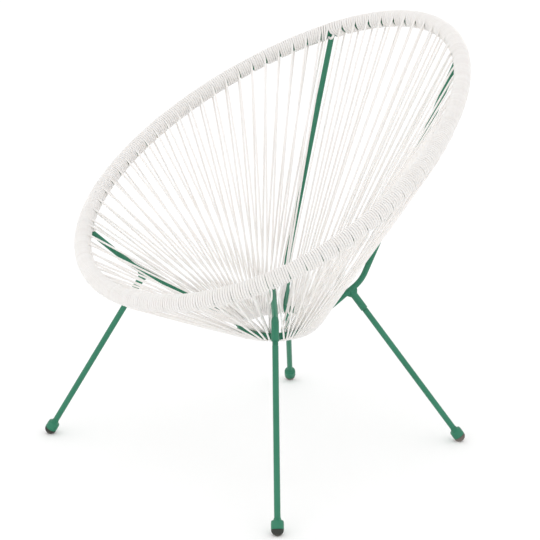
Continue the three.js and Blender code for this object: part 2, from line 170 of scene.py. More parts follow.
def swept(tree, line, radius, sides, is_capped=True):
    """A round bar along a line, which has its ends closed where it is capped"""
    section = put(tree, "GeometryNodeCurvePrimitiveCircle", Resolution=sides, Radius=radius)
    bar = put(
        tree, "GeometryNodeCurveToMesh",
        Curve=line.outputs[0], Profile_Curve=section.outputs[0], Fill_Caps=is_capped,
    )
    return bar.outputs[0]


def hoop_tree():
    """A round tube along the hoop's egg-shaped loop"""
    lengths = ["Half Width", "Half Depth", "Front Height", "Back Height", "Egg Share", "Tube Width"]
    tree, size = start_tree("egg-shaped hoop", {label: "Float" for label in lengths})
    loop = put(tree, "GeometryNodeCurvePrimitiveCircle", Resolution=hoop_steps)
    along = put(tree, "GeometryNodeSplineParameter").outputs["Factor"]
    turn = calc(tree, "SUBTRACT", calc(tree, "MULTIPLY", along, 2 * math.pi), math.pi / 2)
    backward = calc(tree, "SINE", turn)
    narrowing = calc(tree, "SUBTRACT", 1.0, calc(tree, "MULTIPLY", size["Egg Share"], backward))
    aside = calc(tree, "MULTIPLY", calc(tree, "COSINE", turn), size["Half Width"])
    rise = calc(tree, "SUBTRACT", size["Back Height"], size["Front Height"])
    height = calc(tree, "MULTIPLY", calc(tree, "ADD", backward, 1.0), calc(tree, "DIVIDE", rise, 2.0))
    spot = put(
        tree, "ShaderNodeCombineXYZ",
        X=calc(tree, "MULTIPLY", aside, narrowing),
        Y=calc(tree, "MULTIPLY", backward, size["Half Depth"]),
        Z=calc(tree, "ADD", height, size["Front Height"]),
    )
    line = put(tree, "GeometryNodeSetPosition", Geometry=loop.outputs[0], Position=spot.outputs[0])
    radius = calc(tree, "DIVIDE", size["Tube Width"], 2.0)
    end_tree(tree, swept(tree, line, radius, hoop_sides, is_capped=False), frame_green)
    return tree


hoop_sizes = {
    "Half Width": hoop_half_width,
    "Half Depth": hoop_half_depth,
    "Front Height": hoop_front_height,
    "Back Height": hoop_back_height,
    "Egg Share": hoop_egg_share,
    "Tube Width": hoop_tube_width,
}
hoop = grow("hoop_tube", hoop_tree(), hoop_sizes)
keep(hoop, "frame_green", "rim_tube")

# The small ring
# A steel rod bent into a ring and welded shut, which hangs low in the middle of the seat.
# Every cord comes down to it and goes round it. It is powder coated with the rest of the frame.

ring_radius = 0.077
ring_rod_width = 0.014
ring_height = 0.259
ring_tilt = math.radians(4.5)
ring_steps = 128
rod_sides = 20


def ring_place(angle):
    """Points on the ring's middle line, by their angle from the right towards the back"""
    backward = ring_radius * np.sin(angle)
    height = ring_height + backward * math.sin(ring_tilt)
    return np.stack([ring_radius * np.cos(angle), backward * math.cos(ring_tilt), height], axis=-1)


def line_mesh(name, points, widths=None, is_loop=False):
    """A line of points for a tree to start from, which can hold the cord's width at each"""
    count = len(points)
    edges = [(i, i + 1) for i in range(count - 1)]
    if is_loop:
        edges.append((count - 1, 0))
    mesh = bpy.data.meshes.new(name)
    mesh.from_pydata([tuple(point) for point in points], edges, [])
    if widths is not None:
        layer = mesh.attributes.new("line_width", "FLOAT", "POINT")
        layer.data.foreach_set("value", np.asarray(widths, dtype=np.float32))
    return mesh


def rod_tree():
    """A round rod of one width along a line"""
    tree, size = start_tree("bent rod", {"Rod Width": "Float", "Sides": "Int"})
    line = put(tree, "GeometryNodeMeshToCurve", Mesh=size["Geometry"])
    radius = calc(tree, "DIVIDE", size["Rod Width"], 2.0)
    end_tree(tree, swept(tree, line, radius, size["Sides"]), frame_green)
    return tree


bent_rod = rod_tree()
ring_angles = np.linspace(0.0, 2 * math.pi, ring_steps, endpoint=False)
ring_line = line_mesh("ring line", ring_place(ring_angles), is_loop=True)
ring = grow("small_ring", bent_rod, {"Rod Width": ring_rod_width, "Sides": rod_sides}, ring_line)
keep(ring, "frame_green", "base_ring")

# The struts
# Four steel rods, each welded to the ring below and to the hoop above, with one bend beyond its leg's
# socket. They are powder coated with the frame, and the cord passes close by them on both sides.

strut_rod_width = 0.012
strut_bend_radius = 0.080
strut_bend_steps = 20
hoop_table_steps = 20000
# How far each strut's top stands from the middle of the hoop's front or back, as shares of the hoop's length
hoop_shares = {"front_right": 0.1268, "front_left": 0.1202, "back_right": 0.0812, "back_left": 0.0790}
# The same for a frame that is even on both sides, from which the sockets are placed
even_front_share = 0.1268
even_back_share = 0.0803
front_arm_angle = math.radians(-45.0)
back_arm_angle = math.radians(50.5)
front_socket_share, front_socket_drop, front_socket_sway = 0.624, 0.0264, 0.0029
back_socket_share, back_socket_drop, back_socket_sway = 0.233, 0.0618, -0.0174
front_bend_run = 0.026
back_bend_run = 0.0295


def hoop_formula(turn):
    """Points on the hoop's middle line, by the turn of its egg-shaped loop"""
    backward = np.sin(turn)
    aside = hoop_half_width * np.cos(turn) * (1 - hoop_egg_share * backward)
    height = hoop_front_height + (hoop_back_height - hoop_front_height) * (backward + 1) / 2
    return np.stack([aside, hoop_half_depth * backward, height], axis=-1)


table_turns = np.linspace(-math.pi / 2, 1.5 * math.pi, hoop_table_steps + 1)
table_lengths = np.linalg.norm(np.diff(hoop_formula(table_turns), axis=0), axis=1)
table_reaches = np.concatenate([[0.0], np.cumsum(table_lengths)])
hoop_length = table_reaches[-1]


def unit(vectors):
    return vectors / np.linalg.norm(vectors, axis=-1, keepdims=True)


def hoop_place(reach):
    """Points on the hoop's middle line, by their reach along it from the middle of its front"""
    return hoop_formula(np.interp(np.mod(reach, hoop_length), table_reaches, table_turns))


def hoop_heading(reach):
    step = hoop_length / hoop_table_steps
    return unit(hoop_place(np.asarray(reach) + step) - hoop_place(np.asarray(reach) - step))


def strut_corner(arm_angle, hoop_reach, share, drop, sway, bend_run):
    """Where a right-hand strut starts, carries its socket, bends and ends"""
    ring_end = ring_place(np.array(arm_angle))
    hoop_end = hoop_place(hoop_reach)
    run = hoop_end - ring_end
    leftward = unit(np.array([-run[1], run[0], 0.0]))
    socket = ring_end + share * run + sway * leftward - np.array([0.0, 0.0, drop])
    rising = unit(socket - ring_end)
    bend = socket + bend_run * rising
    return {"ring_end": ring_end, "socket": socket, "bend": bend, "hoop_end": hoop_end}


def mirrored(corner):
    return {label: spot * np.array([-1.0, 1.0, 1.0]) for label, spot in corner.items()}


front_right = strut_corner(
    front_arm_angle, hoop_length * even_front_share,
    front_socket_share, front_socket_drop, front_socket_sway, front_bend_run,
)
back_right = strut_corner(
    back_arm_angle, hoop_length * (0.5 - even_back_share),
    back_socket_share, back_socket_drop, back_socket_sway, back_bend_run,
)
corners = {
    "front_right": front_right,
    "front_left": mirrored(front_right),
    "back_right": back_right,
    "back_left": mirrored(back_right),
}
corner_reaches = {
    "front_right": hoop_length * hoop_shares["front_right"],
    "front_left": hoop_length * (1.0 - hoop_shares["front_left"]),
    "back_right": hoop_length * (0.5 - hoop_shares["back_right"]),
    "back_left": hoop_length * (0.5 + hoop_shares["back_left"]),
}
for corner_name, corner in corners.items():
    corner["hoop_end"] = hoop_place(corner_reaches[corner_name])


def strut_line(corner):
    """Straight up from the ring, round the bend in even steps, and straight to the hoop"""
    rising = unit(corner["socket"] - corner["ring_end"])
    leaving = unit(corner["hoop_end"] - corner["bend"])
    bend_angle = math.acos(float(rising @ leaving))
    arc_start = corner["bend"] - strut_bend_radius * math.tan(bend_angle / 2) * rising
    inward = unit(leaving - (leaving @ rising) * rising)
    arc_middle = arc_start + strut_bend_radius * inward
    angles = np.linspace(0.0, bend_angle, strut_bend_steps + 1)[:, None]
    arc = arc_middle + strut_bend_radius * (np.sin(angles) * rising - np.cos(angles) * inward)
    return np.concatenate([[corner["ring_end"]], arc, [corner["hoop_end"]]])


for corner_name, corner in corners.items():
    line = line_mesh("strut line", strut_line(corner))
    sizes = {"Rod Width": strut_rod_width, "Sides": rod_sides}
    strut = grow(f"strut_rod_{corner_name}", bent_rod, sizes, line)
    keep(strut, "frame_green", f"strut_{corner_name}")

# The welds
# Each strut is welded all round where it meets the ring and the hoop, in a rippled bead of small
# overlapping pools, painted over with the frame.

weld_pitch = 0.0017
weld_width = 0.0034
weld_steps = 60
weld_seed = 4
weld_least_share = 0.85
weld_most_share = 1.2
weld_flat_share = 0.8
pool_segments = 8
pool_rings = 5
# A pool is drawn a metre wide, and then scaled down to the bead's width
pool_radius = 0.5


def weld_tree():
    """A row of flattened pools of metal along a line, each a little different"""
    tree, size = start_tree("weld bead", {"Pitch": "Float", "Bead Width": "Float", "Seed": "Int"})
    line = put(tree, "GeometryNodeMeshToCurve", Mesh=size["Geometry"])
    lengths = {"mode": "LENGTH"}
    spots = put(tree, "GeometryNodeResampleCurve", lengths, Curve=line.outputs[0], Length=size["Pitch"])
    pool = put(
        tree, "GeometryNodeMeshUVSphere",
        Segments=pool_segments, Rings=pool_rings, Radius=pool_radius,
    )
    along = put(tree, "GeometryNodeInputTangent").outputs[0]
    facing = put(tree, "FunctionNodeAlignRotationToVector", Vector=along)
    uneven = put(
        tree, "FunctionNodeRandomValue",
        Min=weld_least_share, Max=weld_most_share, Seed=size["Seed"],
    )
    width = calc(tree, "MULTIPLY", size["Bead Width"], uneven.outputs["Value"])
    height = calc(tree, "MULTIPLY", width, weld_flat_share)
    flat = put(tree, "ShaderNodeCombineXYZ", X=width, Y=width, Z=height)
    pools = put(
        tree, "GeometryNodeInstanceOnPoints",
        Points=spots.outputs[0], Instance=pool.outputs["Mesh"],
        Rotation=facing.outputs[0], Scale=flat.outputs[0],
    )
    end_tree(tree, pools.outputs[0], frame_green)
    return tree


def weld_line(start, towards, heading, rod_radius):
    """Where the skin of a strut meets the skin of the round bar that it is welded to"""
    first = unit(np.cross(towards, heading))
    second = np.cross(towards, first)
    angles = np.linspace(0.0, 2 * math.pi, weld_steps, endpoint=False)[:, None]
    round_strut = strut_rod_width / 2 * (np.cos(angles) * first + np.sin(angles) * second)
    across = round_strut - (round_strut @ heading)[:, None] * heading
    forward = towards - (towards @ heading) * heading
    square = forward @ forward
    slope = across @ forward
    rest = np.sum(across * across, axis=1) - rod_radius ** 2
    run = (np.sqrt(np.maximum(slope * slope - square * rest, 0.0)) - slope) / square
    return start + round_strut + run[:, None] * towards


weld_bead = weld_tree()
weld_sizes = {"Pitch": weld_pitch, "Bead Width": weld_width, "Seed": weld_seed}
for corner_name, corner in corners.items():
    hoop_bar = hoop_heading(corner_reaches[corner_name])
    leaving = unit(corner["bend"] - corner["hoop_end"])
    rising = unit(corner["socket"] - corner["ring_end"])
    outward = corner["ring_end"] - np.array([0.0, 0.0, ring_height])
    ring_bar = unit(np.cross(outward, np.array([0.0, -math.sin(ring_tilt), math.cos(ring_tilt)])))
    joints = {
        "hoop": weld_line(corner["hoop_end"], leaving, hoop_bar, hoop_tube_width / 2),
        "ring": weld_line(corner["ring_end"], rising, ring_bar, ring_rod_width / 2),
    }
    for joint_name, joint in joints.items():
        line = line_mesh("weld line", joint, is_loop=True)
        weld = grow(f"{joint_name}_weld_{corner_name}", weld_bead, weld_sizes, line)
        keep(weld, "frame_green")

# The leg sockets
# Short steel sleeves, tapped inside, welded under each strut with a gusset to either side and painted
# with the frame. The welds are dressed smooth, so each socket flows into its strut.

socket_width = 0.015
socket_length = 0.050
socket_shoulder = 0.0045
socket_edge = 0.0007
socket_mouth_width = 0.0118
socket_mouth_depth = 0.0014
gusset_reach = 0.013
gusset_drop = 0.0135
gusset_thickness = 0.0076
socket_voxel = 0.0006
socket_smoothing = 5
socket_smoothing_share = 0.5
foot_front = (0.353, -0.325)
foot_back = (0.259, 0.278)
pad_width = 0.024
pad_flat_depth = 0.0009
turned_steps = 48
ease_steps = 6
ease_parts = 2.2


def eased(outline, reach):
    """An outline whose inner corners are rounded, starting so far from each as there is room for"""
    spots = [np.array(spot, dtype=float) for spot in outline]
    line = [spots[0]]
    for before, corner, after in zip(spots, spots[1:], spots[2:]):
        shorter = min(np.linalg.norm(before - corner), np.linalg.norm(after - corner))
        room = min(reach, shorter / ease_parts)
        start = corner + room * unit(before - corner)
        end = corner + room * unit(after - corner)
        for step in range(ease_steps + 1):
            share = step / ease_steps
            line.append((1 - share) ** 2 * start + 2 * share * (1 - share) * corner + share ** 2 * end)
    line.append(spots[-1])
    return line


def turned(name, outline, material, is_tube=False):
    """A shape turned on a lathe round Z from points of radius and run. A tube's outline is a closed loop"""
    skin = bmesh.new()
    rings = []
    for radius, run in outline:
        count = turned_steps if radius > 0.0 else 1
        angles = [2 * math.pi * step / count for step in range(count)]
        rings.append([skin.verts.new((radius * math.cos(a), radius * math.sin(a), run)) for a in angles])
    pairs = list(zip(rings, rings[1:]))
    if is_tube:
        pairs.append((rings[-1], rings[0]))
    for near, far in pairs:
        for step in range(turned_steps):
            following = (step + 1) % turned_steps
            if len(near) == 1 and len(far) > 1:
                skin.faces.new((near[0], far[step], far[following]))
            elif len(far) == 1 and len(near) > 1:
                skin.faces.new((near[step], far[0], near[following]))
            elif len(near) > 1:
                skin.faces.new((near[step], far[step], far[following], near[following]))
    bmesh.ops.recalc_face_normals(skin, faces=skin.faces)
    mesh = bpy.data.meshes.new(name)
    skin.to_mesh(mesh)
    skin.free()
    mesh.materials.append(material)
    mesh.shade_smooth()
    return mesh


def leg_frame(corner, foot):
    """A place whose Z runs down the leg from its socket and whose X runs along the strut"""
    down = unit(foot - corner["socket"])
    rising = unit(corner["socket"] - corner["ring_end"])
    aside = unit(np.cross(down, rising))
    along = np.cross(aside, down)
    matrix = Matrix.Identity(4)
    for column, axis in enumerate((along, aside, down, corner["socket"])):
        for row in range(3):
            matrix[row][column] = axis[row]
    return matrix


def stand(name, mesh, matrix):
    """A piece whose place is in its mesh"""
    mesh.transform(matrix)
    return add_object(name, mesh)


def gusset_mesh():
    """The plate under the strut that braces the sleeve to both sides"""
    rod = strut_rod_width / 2
    outline = [
        (-gusset_reach, 0.0), (gusset_reach, 0.0), (gusset_reach, rod), (socket_width / 2, gusset_drop),
        (-socket_width / 2, gusset_drop), (-gusset_reach, rod),
    ]
    skin = bmesh.new()
    sides = []
    for aside in (-gusset_thickness / 2, gusset_thickness / 2):
        sides.append([skin.verts.new((along, aside, down)) for along, down in outline])
    skin.faces.new(sides[0])
    skin.faces.new(list(reversed(sides[1])))
    for i in range(len(outline)):
        j = (i + 1) % len(outline)
        skin.faces.new((sides[0][j], sides[0][i], sides[1][i], sides[1][j]))
    bmesh.ops.recalc_face_normals(skin, faces=skin.faces)
    mesh = bpy.data.meshes.new("gusset")
    skin.to_mesh(mesh)
    skin.free()
    return mesh


def socket_mesh():
    """The sleeve and its gussets as one smooth skin"""
    radius = socket_width / 2
    sleeve = turned("sleeve", [
        (0.0, 0.0),
        (radius - socket_shoulder / 2, 0.0),
        (radius, socket_shoulder + strut_rod_width / 2),
        (radius, socket_length - socket_edge),
        (radius - socket_edge, socket_length),
        (socket_mouth_width / 2, socket_length),
        (socket_mouth_width / 2, socket_length - socket_mouth_depth),
        (0.0, socket_length - socket_mouth_depth),
    ], frame_green)
    skin = bmesh.new()
    skin.from_mesh(sleeve)
    skin.from_mesh(gusset_mesh())
    joined = bpy.data.meshes.new("socket")
    skin.to_mesh(joined)
    skin.free()
    worker = add_object("socket", joined)
    fused = worker.modifiers.new("fused", "REMESH")
    fused.mode = "VOXEL"
    fused.voxel_size = socket_voxel
    dressed = worker.modifiers.new("dressed", "SMOOTH")
    dressed.factor = socket_smoothing_share
    dressed.iterations = socket_smoothing
    mesh = bpy.data.meshes.new_from_object(worker.evaluated_get(bpy.context.evaluated_depsgraph_get()))
    bpy.data.objects.remove(worker)
    mesh.materials.clear()
    mesh.materials.append(frame_green)
    mesh.shade_smooth()
    return mesh


foot_height = pad_width / 2 - pad_flat_depth
feet = {}
for corner_name in corners:
    aside, back = foot_front if corner_name.startswith("front") else foot_back
    side = 1.0 if corner_name.endswith("right") else -1.0
    feet[corner_name] = np.array([side * aside, back, foot_height])
foot_runs = {name: float(np.linalg.norm(foot - corners[name]["socket"])) for name, foot in feet.items()}
leg_frames = {name: leg_frame(corners[name], foot) for name, foot in feet.items()}
socket_pattern = socket_mesh()
for corner_name, matrix in leg_frames.items():
    socket = stand(f"socket_{corner_name}", socket_pattern.copy(), matrix)
    keep(socket, "frame_green", f"leg_socket_{corner_name}")

# The legs
# Four straight steel rods, powder coated green. Each is turned down and threaded at its top, where it
# screws into its socket, with a short bare neck below the socket that still shows the thread.

leg_width = 0.012
thread_width = 0.0117
thread_depth = 0.0008
thread_pitch = 0.0014
thread_hidden = 0.004
leg_chamfer = 0.001
front_neck_length = 0.008
back_neck_length = 0.002
pad_stem_length = 0.008
spiral_steps = 20
ridge_sides = 6


def thread_tree():
    """A thin ridge that winds up the neck"""
    sizes = {"Turns": "Float", "Radius": "Float", "Height": "Float", "Ridge": "Float"}
    tree, size = start_tree("screw thread", sizes)
    line = put(
        tree, "GeometryNodeCurveSpiral",
        Resolution=spiral_steps, Rotations=size["Turns"], Height=size["Height"],
        Start_Radius=size["Radius"], End_Radius=size["Radius"],
    )
    radius = calc(tree, "DIVIDE", size["Ridge"], 2.0)
    end_tree(tree, swept(tree, line, radius, ridge_sides), frame_green)
    return tree


screw_thread = thread_tree()
for corner_name, matrix in leg_frames.items():
    neck_length = front_neck_length if corner_name.startswith("front") else back_neck_length
    foot_run = foot_runs[corner_name]
    core = thread_width / 2 - thread_depth
    shoulder = socket_length + neck_length
    leg_outline = eased([
        (0.0, socket_length - thread_hidden),
        (core, socket_length - thread_hidden),
        (core, shoulder - leg_chamfer),
        (leg_width / 2, shoulder),
        (leg_width / 2, foot_run - pad_stem_length),
        (0.0, foot_run - pad_stem_length),
    ], leg_chamfer)
    leg = stand(f"leg_rod_{corner_name}", turned("leg", leg_outline, frame_green), matrix)
    keep(leg, "frame_green", f"leg_{corner_name}")
    thread_length = neck_length - leg_chamfer + thread_hidden
    thread = grow(f"leg_thread_{corner_name}", screw_thread, {
        "Turns": thread_length / thread_pitch,
        "Radius": core,
        "Height": thread_length,
        "Ridge": 2 * thread_depth,
    })
    thread.data.transform(matrix @ Matrix.Translation((0.0, 0.0, socket_length - thread_hidden)))
    keep(thread, "frame_green")

# The foot cups
# Turned steel cups welded over the ends of the legs and painted with them. Each flares from the leg
# into a rounded shoulder, and its open end holds the foot pad.

cup_width = 0.0245
cup_length = 0.0175
cup_collar_length = 0.0042
cup_collar_width = 0.0150
cup_shoulder = 0.0030
cup_wall = 0.0026
cup_lip = 0.0006
cup_leg_gap = 0.0001

for corner_name, matrix in leg_frames.items():
    foot_run = foot_runs[corner_name]
    radius = cup_width / 2
    leg_radius = leg_width / 2 + cup_leg_gap
    top = foot_run - cup_length
    floor = foot_run - pad_stem_length
    outside = eased([
        (leg_radius, floor),
        (leg_radius, top - cup_collar_length),
        (leg_radius + cup_lip, top - cup_collar_length),
        (cup_collar_width / 2, top),
        (radius - cup_lip, top + cup_shoulder / 3),
        (radius, top + 2 * cup_shoulder),
        (radius, foot_run - cup_lip),
        (radius - cup_lip, foot_run),
        (radius - cup_wall, foot_run),
        (radius - cup_wall, floor),
    ], cup_shoulder)
    cup = stand(f"cup_{corner_name}", turned("cup", outside, frame_green, is_tube=True), matrix)
    keep(cup, "frame_green", f"foot_cup_{corner_name}")

# The foot pads
# Moulded rubber plugs with domed soles, pressed into the cups. The front ones are nearly black and the
# back ones have gone brown and chalky. All are scuffed and dusty where they meet the floor.

pad_step_count = 14
pad_seam = 0.0003
front_rubber_colours = ((0.022, 0.025, 0.022), (0.048, 0.052, 0.045), (0.20, 0.18, 0.15))
front_dust_height = 0.007
back_rubber_colours = ((0.105, 0.086, 0.076), (0.165, 0.140, 0.125), (0.30, 0.27, 0.24))
back_dust_height = 0.010
rubber_roughness = (0.58, 0.86)
rubber_bump_strength = 0.4
rubber_relief = 0.0002


def foot_rubber(name, fresh, chalky, dust, dust_height):
    """Matt moulded rubber, cloudy, with pale dust and scuffs near the floor"""
    material, tree, shader = start_material(name)
    shader["Specular IOR Level"].default_value = 0.35
    place = put(tree, "ShaderNodeTexCoord").outputs["Object"]
    clouds = put(tree, "ShaderNodeTexNoise", Vector=place, Scale=160.0, Detail=4.0).outputs["Fac"]
    grain = put(tree, "ShaderNodeTexNoise", Vector=place, Scale=1500.0).outputs["Fac"]
    height = put(tree, "ShaderNodeSeparateXYZ", Vector=place).outputs["Z"]
    low = put(tree, "ShaderNodeMapRange", Value=height, From_Min=dust_height, From_Max=0.0)
    broken = calc(tree, "MULTIPLY", low.outputs["Result"], clouds)
    colours = {"data_type": "RGBA"}
    tone = put(tree, "ShaderNodeMix", colours, Factor=clouds, A=(*fresh, 1.0), B=(*chalky, 1.0))
    worn = put(tree, "ShaderNodeMix", colours, Factor=broken, A=tone.outputs["Result"], B=(*dust, 1.0))
    colour = worn.outputs["Result"]
    finish_looks(tree, shader, colour, clouds, rubber_roughness, grain, rubber_bump_strength, rubber_relief)
    return material


dark_rubber = foot_rubber("dark foot rubber", *front_rubber_colours, front_dust_height)
brown_rubber = foot_rubber("brown foot rubber", *back_rubber_colours, back_dust_height)

for corner_name, matrix in leg_frames.items():
    foot_run = foot_runs[corner_name]
    radius = pad_width / 2
    stem = cup_width / 2 - cup_wall
    floor = foot_run - pad_stem_length
    seam = foot_run + pad_seam
    outline = [(0.0, floor), (stem, floor), (stem, seam), (radius, seam)]
    for step in range(1, pad_step_count):
        angle = math.pi / 2 * step / pad_step_count
        outline.append((radius * math.cos(angle), seam + (radius - pad_seam) * math.sin(angle)))
    outline.append((0.0, foot_run + radius))
    rubber = dark_rubber if corner_name.startswith("front") else brown_rubber
    pad = stand(f"pad_{corner_name}", turned("pad", outline, rubber), matrix)
    for vertex in pad.data.vertices:
        vertex.co.z = max(vertex.co.z, 0.0)
    keep(pad, "foot_rubber", f"foot_pad_{corner_name}")

# The cord
# White vinyl cord, wound close round the hoop. At every seventh turn, or every sixth at the back, it goes
# down inside the seat, round the ring's rod and straight back up outside, pulled taut by hand, so that no
# two turns lie quite alike. At each strut the turns part round the rod, and one turn bridges it.

cord_spokes = {"front": 19, "right": 23, "back": 13, "left": 24}
spoke_margins = {
    "front": (0.009, 0.006),
    "right": (0.0035, 0.016),
    "back": (0.012, 0.028),
    "left": (0.020, 0.012),
}
# The left stretch has one more pair of strands, close by the back left strut
first_left_margin = 0.0035
turns_per_spoke = {"front": 7, "right": 7, "back": 6, "left": 7}
turn_steps = 14
taut_cord_width = 0.0039
cord_sides = 10
ring_gap_at_arm = 0.0053
ring_gap_under_crossing = 0.0099
sleeve_radius = 0.0142
ring_wrap_steps = 10
strut_sample_run = 0.001
ring_slant = 0.0024
# How far the turns before and after each strut part for it, along the hoop
strut_partings = {
    "front_right": (0.0045, 0.0065),
    "back_right": (0.0055, 0.0095),
    "back_left": (0.0105, 0.0065),
    "front_left": (0.0055, 0.0095),
}
parting_fade = 0.050
# The higher the power, the closer the parting keeps to the strut's side of the hoop
parting_powers = {"front_right": 12, "back_right": 4, "back_left": 4, "front_left": 12}
evening_share = 0.30
# How far the turns beside each pair of strands stand apart on the outside of the hoop
slit_width = {"front": 0.0006, "right": 0.0018, "back": 0.0008, "left": 0.0004}
bridge_start_angle = math.radians(155.0)
bridge_end_angle = math.radians(165.0)
bridge_steps = 12
bridge_slack = 0.007
arm_lean = math.radians(4.0)
arm_lean_fade = math.radians(12.0)
# How far round the ring some strands inside the seat stray from their even places
stray_spokes = {
    ("right", 0): math.radians(-8.0),
    ("right", 1): math.radians(-6.0),
    ("back", 12): math.radians(5.0),
    ("left", 0): math.radians(-3.5),
    ("left", 1): math.radians(-5.5),
    ("left", 22): math.radians(3.0),
    ("left", 23): math.radians(9.0),
    ("front", 0): math.radians(-2.0),
    ("front", 1): math.radians(-12.0),
    ("front", 2): math.radians(-14.0),
    ("front", 3): math.radians(-8.0),
}
leaving_run = 0.014
leaving_steps = 5
span_steps = 18
knot_steps = 8
smoothing_steps = 5
wobble = 0.00010
sag = 0.0007
bow = {"front": 0.001, "right": 0.0045, "back": 0.001, "left": 0.001}
cord_seed = 11
vinyl_dark = (0.812, 0.782, 0.758)
vinyl_light = (0.870, 0.846, 0.826)
vinyl_streak_scales = (2.2, 2.2, 14.0)
vinyl_tone_scales = (0.2, 0.2, 5.0)
vinyl_glow_depth = 0.005
vinyl_roughness = (0.36, 0.52)
vinyl_bump_strength = 0.12
vinyl_relief = 0.0002


def crossing_reach(corner_name):
    """Where a strut passes through the wound cord, which it does at a lean"""
    corner = corners[corner_name]
    reach = corner_reaches[corner_name]
    lean = float(unit(corner["hoop_end"] - corner["bend"]) @ hoop_heading(reach))
    return reach - sleeve_radius * lean / math.sqrt(1 - lean * lean)


gap_at_arm = ring_gap_at_arm / ring_radius
gap_under = ring_gap_under_crossing / ring_radius
left_arm_back = math.pi - back_arm_angle
left_arm_front = math.pi - front_arm_angle
front_left_reach = crossing_reach("front_left")
front_right_reach = crossing_reach("front_right")
back_right_reach = crossing_reach("back_right")
back_left_reach = crossing_reach("back_left")
stretches = {
    "front": (
        front_left_reach - hoop_length, front_right_reach,
        left_arm_front - 2 * math.pi + gap_at_arm, front_arm_angle - gap_at_arm,
    ),
    "right": (
        front_right_reach, back_right_reach,
        front_arm_angle + gap_at_arm, back_arm_angle - gap_under,
    ),
    "back": (
        back_right_reach, back_left_reach,
        back_arm_angle + gap_at_arm, left_arm_back - gap_at_arm,
    ),
    "left": (
        back_left_reach, front_left_reach,
        left_arm_back + gap_under, left_arm_front - gap_at_arm,
    ),
}
spoke_places = {}
for stretch_name, (start, end, first_angle, last_angle) in stretches.items():
    count = cord_spokes[stretch_name]
    first_margin, last_margin = spoke_margins[stretch_name]
    shares = (np.arange(count) + 0.5) / count
    if stretch_name == "left":
        regular = np.linspace(start + first_margin, end - last_margin, count - 1)
        places = np.concatenate([[start + first_left_margin], regular])
    else:
        places = np.linspace(start + first_margin, end - last_margin, count)
    spoke_places[stretch_name] = (places, first_angle + shares * (last_angle - first_angle))
pitches = {
    stretch_name: float(reaches[-1] - reaches[-2]) / turns_per_spoke[stretch_name]
    for stretch_name, (reaches, angles) in spoke_places.items()
}
all_reaches = np.concatenate([places[0] for places in spoke_places.values()])
all_angles = np.concatenate([places[1] for places in spoke_places.values()])
fan_reaches = np.concatenate([all_reaches - hoop_length, all_reaches, all_reaches + hoop_length])
fan_angles = np.concatenate([all_angles - 2 * math.pi, all_angles, all_angles + 2 * math.pi])


def winding_frame(reach):
    """The hoop's middle, and the directions from there away from the ring and towards the sitter"""
    middle = hoop_place(reach)
    heading = hoop_heading(reach)
    down = unit(ring_place(np.interp(reach, fan_reaches, fan_angles)) - middle)
    inside = unit(np.cross(heading, down))
    over = np.cross(heading, inside)
    return middle, over, inside


def strut_side(corner_name):
    """The angle round the hoop at which a strut leaves it"""
    corner = corners[corner_name]
    reach = corner_reaches[corner_name]
    over, inside = winding_frame(np.array(reach))[1:]
    leaving = unit(corner["bend"] - corner["hoop_end"])
    return math.atan2(float(leaving @ inside), float(leaving @ over))


following = {"front": "right", "right": "back", "back": "left", "left": "front"}
strut_rods = []
for corner in corners.values():
    line = strut_line(corner)
    runs = np.concatenate([[0.0], np.cumsum(np.linalg.norm(np.diff(line, axis=0), axis=1))])
    places = np.arange(0.0, runs[-1], strut_sample_run)
    strut_rods.append(np.stack([np.interp(places, runs, line[:, axis]) for axis in range(3)], axis=-1))
start_struts = {"front": "front_left", "right": "front_right", "back": "back_right", "left": "back_left"}


def settled(reach, angle, stretch_name):
    """Where along the hoop a turn settles. Under the hoop the turns close up over the one that is missing
    at each spoke, and beside a strut they part, most on the strut's side of the hoop"""
    start, end = stretches[stretch_name][:2]
    reaches = spoke_places[stretch_name][0]
    spacing = reaches[-1] - reaches[-2]
    pitch = pitches[stretch_name]
    share = np.mod((reach - reaches[-1]) / spacing, 1.0)
    under = np.maximum(-np.cos(angle), 0.0)
    moved = reach + evening_share * under * (share - 0.5) * spacing / (turns_per_spoke[stretch_name] - 1)
    outside = np.maximum(-np.sin(angle), 0.0)
    moved = moved + slit_width[stretch_name] * outside * (0.5 - share)
    start_strut = start_struts[stretch_name]
    end_strut = start_struts[following[stretch_name]]
    sides = (
        (reach - start, start_strut, strut_partings[start_strut][1]),
        (end - reach, end_strut, -strut_partings[end_strut][0]),
    )
    for away, corner_name, parting in sides:
        facing = ((1 + np.cos(angle - strut_side(corner_name))) / 2) ** parting_powers[corner_name]
        moved = moved + parting * facing * np.exp(-np.maximum(away - pitch / 2, 0.0) / parting_fade)
    return moved


def on_hoop(reach, angle, cord_width):
    """Points on a cord that lies on the hoop, by their reach and their angle round it"""
    middle, over, inside = winding_frame(reach)
    radius = (hoop_tube_width + cord_width) / 2
    return middle + radius * (np.cos(angle)[:, None] * over + np.sin(angle)[:, None] * inside)


def wound(reach, angle, stretch_name, dice):
    """Points on the cord where it is wound on the hoop, a little uneven along it"""
    count = len(reach)
    knots = np.arange(0, count + knot_steps, knot_steps)
    drift = np.interp(np.arange(count), knots, dice.normal(0.0, wobble, len(knots)))
    return on_hoop(settled(reach, angle, stretch_name) + drift, angle, pitches[stretch_name])


